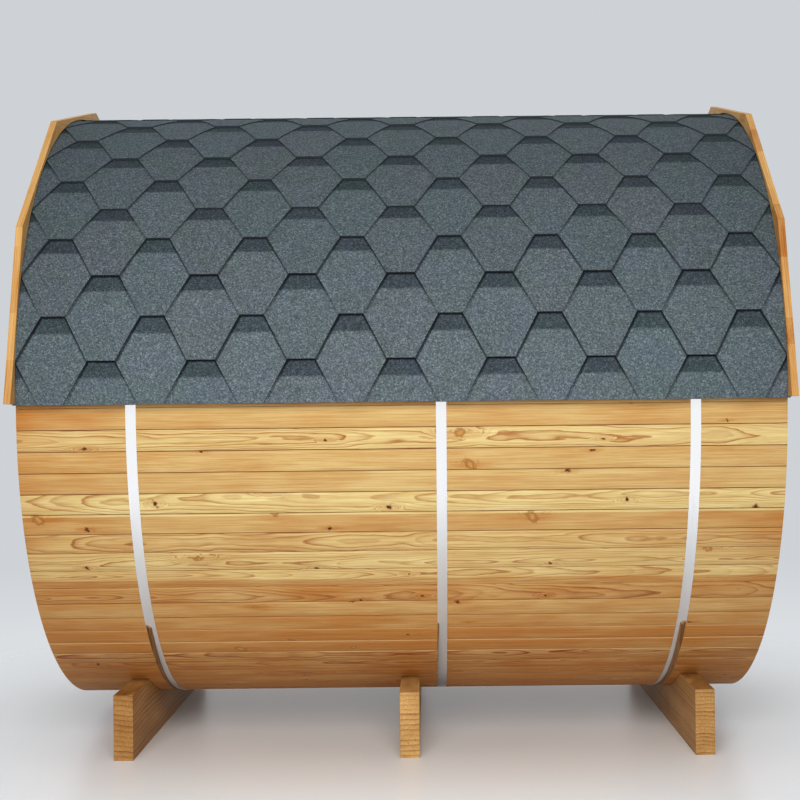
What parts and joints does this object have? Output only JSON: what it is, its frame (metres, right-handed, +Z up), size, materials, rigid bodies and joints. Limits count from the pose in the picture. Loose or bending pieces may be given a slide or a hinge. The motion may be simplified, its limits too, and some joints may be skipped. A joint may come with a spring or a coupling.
{
  "type": "barrel sauna",
  "caption": "Barrel sauna of light softwood staves on timber cradles, clamped by steel hoops, with a grey six-sided shingle roof over its upper half and a plank door in one end.",
  "frame": {"origin": "on the ground under the middle of the barrel", "axes": "+X along the barrel to the end with the plain wall, -Y the side seen in the picture, +Z up"},
  "size_m": [2.224, 2.1092, 2.135],
  "materials": {
    "stave_wood": "planed, clear oil",
    "wall_wood": "planed, clear oil",
    "trim_wood": "planed, clear oil",
    "cradle_wood": "planed, clear oil",
    "roof_board_wood": "rough sawn",
    "hoop_steel": "bright rolled stainless strip",
    "shingle_bitumen": "bitumen felt with blue-grey mineral granules",
    "hinge_iron": "black powder coat"
  },
  "bodies": {
    "root": {"staves_01": "stave_wood", "staves_02": "stave_wood", "staves_03": "stave_wood", "staves_04": "stave_wood", "staves_05": "stave_wood", "staves_06": "stave_wood", "staves_07": "stave_wood", "staves_08": "stave_wood", "staves_09": "stave_wood", "staves_10": "stave_wood", "staves_11": "stave_wood", "staves_12": "stave_wood", "staves_13": "stave_wood", "staves_14": "stave_wood", "hoop_left": "hoop_steel", "hoop_middle": "hoop_steel", "hoop_right": "hoop_steel", "cradle_left": "cradle_wood", "cradle_middle": "cradle_wood", "cradle_right": "cradle_wood", "roof_boards_front": "roof_board_wood", "roof_boards_back": "roof_board_wood", "shingles_front_lower": "shingle_bitumen", "shingles_front_middle": "shingle_bitumen", "shingles_front_upper": "shingle_bitumen", "shingles_back_lower": "shingle_bitumen", "shingles_back_middle": "shingle_bitumen", "shingles_back_upper": "shingle_bitumen", "ridge_strip": "shingle_bitumen", "end_boards_left": "trim_wood", "end_boards_right": "trim_wood", "door_frame": "trim_wood", "door_handle": "trim_wood", "front_wall_left": "wall_wood", "front_wall_right": "wall_wood", "front_wall_over_door": "wall_wood", "front_wall_under_door": "wall_wood", "back_wall": "wall_wood", "door_leaf": "wall_wood", "door_hinges": "hinge_iron"}
  },
  "joints": []
}
